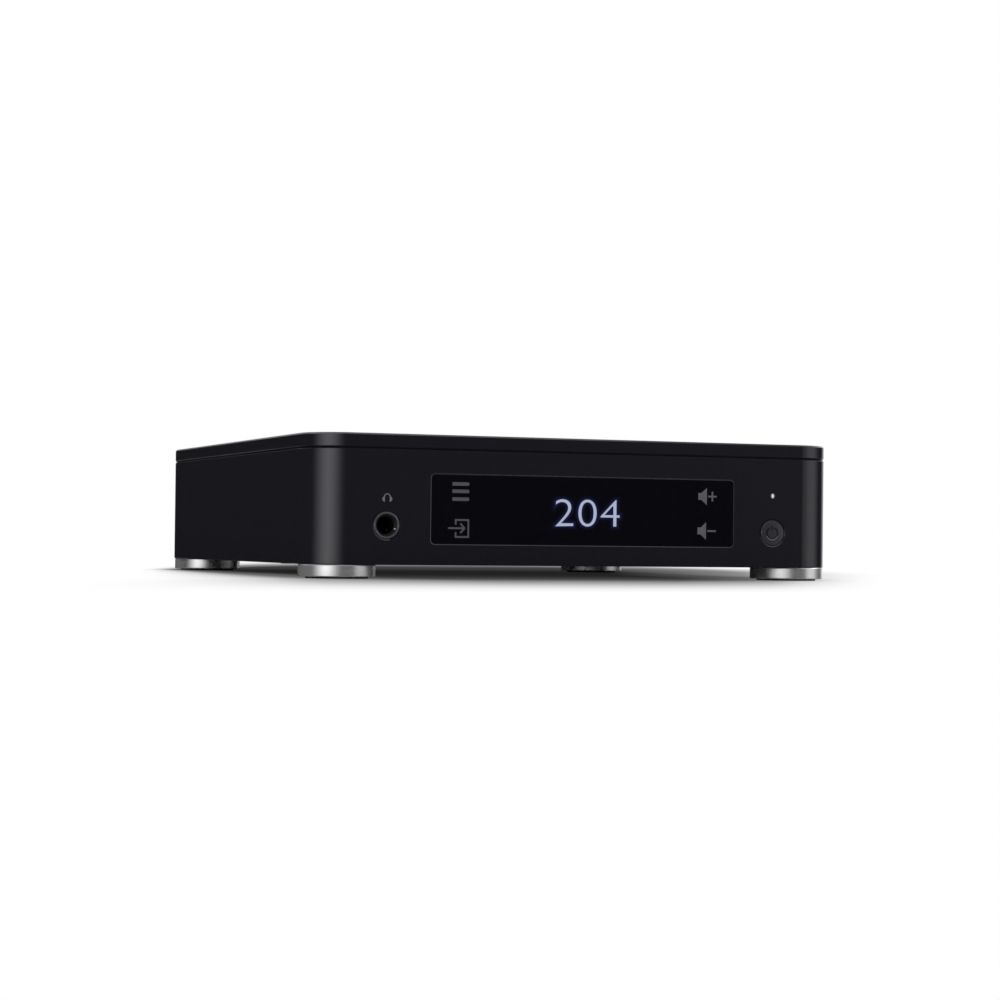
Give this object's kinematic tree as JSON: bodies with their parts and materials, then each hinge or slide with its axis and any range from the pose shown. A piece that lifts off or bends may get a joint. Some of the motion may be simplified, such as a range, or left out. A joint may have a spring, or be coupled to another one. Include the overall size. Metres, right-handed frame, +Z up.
{
  "type": "dac preamplifier",
  "caption": "Low black hi-fi box on round metal feet, with a dark display window, sprung power button, headphone socket and rear phono, optical, USB and supply sockets.",
  "frame": {"origin": "centre of the bounding box on the plane that the rubber pads stand on", "axes": "+X to the right seen from the front, -Y out of the front panel, +Z up"},
  "size_m": [0.215, 0.2294, 0.0528],
  "materials": {
    "black_aluminium": "fine matt black anodising",
    "black_steel": "matt black powder coat",
    "polished_aluminium": "turned and polished",
    "pad_rubber": "matt black rubber",
    "plated_steel": "zinc plate",
    "smoked_window": "glossy smoked acrylic",
    "adhesive_tape": "black foam tape",
    "display_glass": "dark display glass",
    "touch_foam": "conductive foam",
    "circuit_board": "solder mask",
    "lamp_chip": "lamp chip",
    "clear_guide": "clear acrylic",
    "button_black": "fine satin black",
    "moulded_black": "moulded black",
    "usb_tongue": "moulded white",
    "plated_contact": "nickel plate",
    "gold_plate": "gold plate",
    "white_insulator": "moulded white",
    "red_insulator": "moulded red",
    "orange_insulator": "moulded orange",
    "ribbon_film": "flat cable film",
    "chip_package": "moulded package",
    "relay_case": "moulded relay case",
    "crystal_can": "metal can",
    "film_capacitor": "dipped film capacitor",
    "can_sleeve": "shrunk sleeve",
    "inductor_core": "ferrite",
    "sink_aluminium": "plain extruded aluminium"
  },
  "bodies": {
    "case": {"case_frame": "black_aluminium", "lid": "black_aluminium", "rear_panel": "black_aluminium", "base_plate": "black_steel", "feet": "polished_aluminium", "foot_pads": "pad_rubber", "board_standoffs": "plated_steel", "shutter_pin": "plated_steel", "window_lens": "smoked_window", "window_tape": "adhesive_tape", "display_module": "display_glass", "touch_pads": "touch_foam", "front_board": "circuit_board", "main_board": "circuit_board", "headphone_board": "circuit_board", "standby_led": "lamp_chip", "light_pipe": "clear_guide", "switch_body": "moulded_black", "headphone_socket": "moulded_black", "rca_housings": "moulded_black", "optical_socket": "moulded_black", "supply_socket": "moulded_black", "usb_tongue": "usb_tongue", "headphone_contacts": "plated_contact", "supply_pin": "plated_contact", "usb_shell": "plated_contact", "rca_shells": "gold_plate", "rca_insulator_white": "white_insulator", "rca_insulator_red": "red_insulator", "rca_insulator_orange": "orange_insulator", "display_ribbon": "ribbon_film", "headphone_ribbon": "ribbon_film", "dac_chip": "chip_package", "usb_receiver_chip": "chip_package", "processor_chip": "chip_package", "headphone_amplifier_chip": "chip_package", "op_amps": "chip_package", "voltage_regulators": "chip_package", "mute_relays": "relay_case", "clock_crystals": "crystal_can", "coupling_capacitors": "film_capacitor", "reservoir_capacitors": "can_sleeve", "filter_inductors": "inductor_core", "heat_sink": "sink_aluminium"},
    "power_button": {"power_button": "button_black", "switch_plunger": "moulded_black"},
    "optical_shutter": {"optical_shutter": "moulded_black"}
  },
  "joints": [
    {"name": "power_press", "type": "slide", "parent": "case", "child": "power_button", "axis": [0, 1, 0], "range_m": [0, 0.0005], "stiffness_N_per_m": 400, "springref_m": -0.003},
    {"name": "shutter_swing", "type": "hinge", "parent": "case", "child": "optical_shutter", "pos_m": [0.002, 0.1037, 0.02405], "axis": [-1, 0, 0], "range_deg": [0, 84], "stiffness_Nm_per_rad": 0.0002, "springref_deg": -57.3}
  ]
}
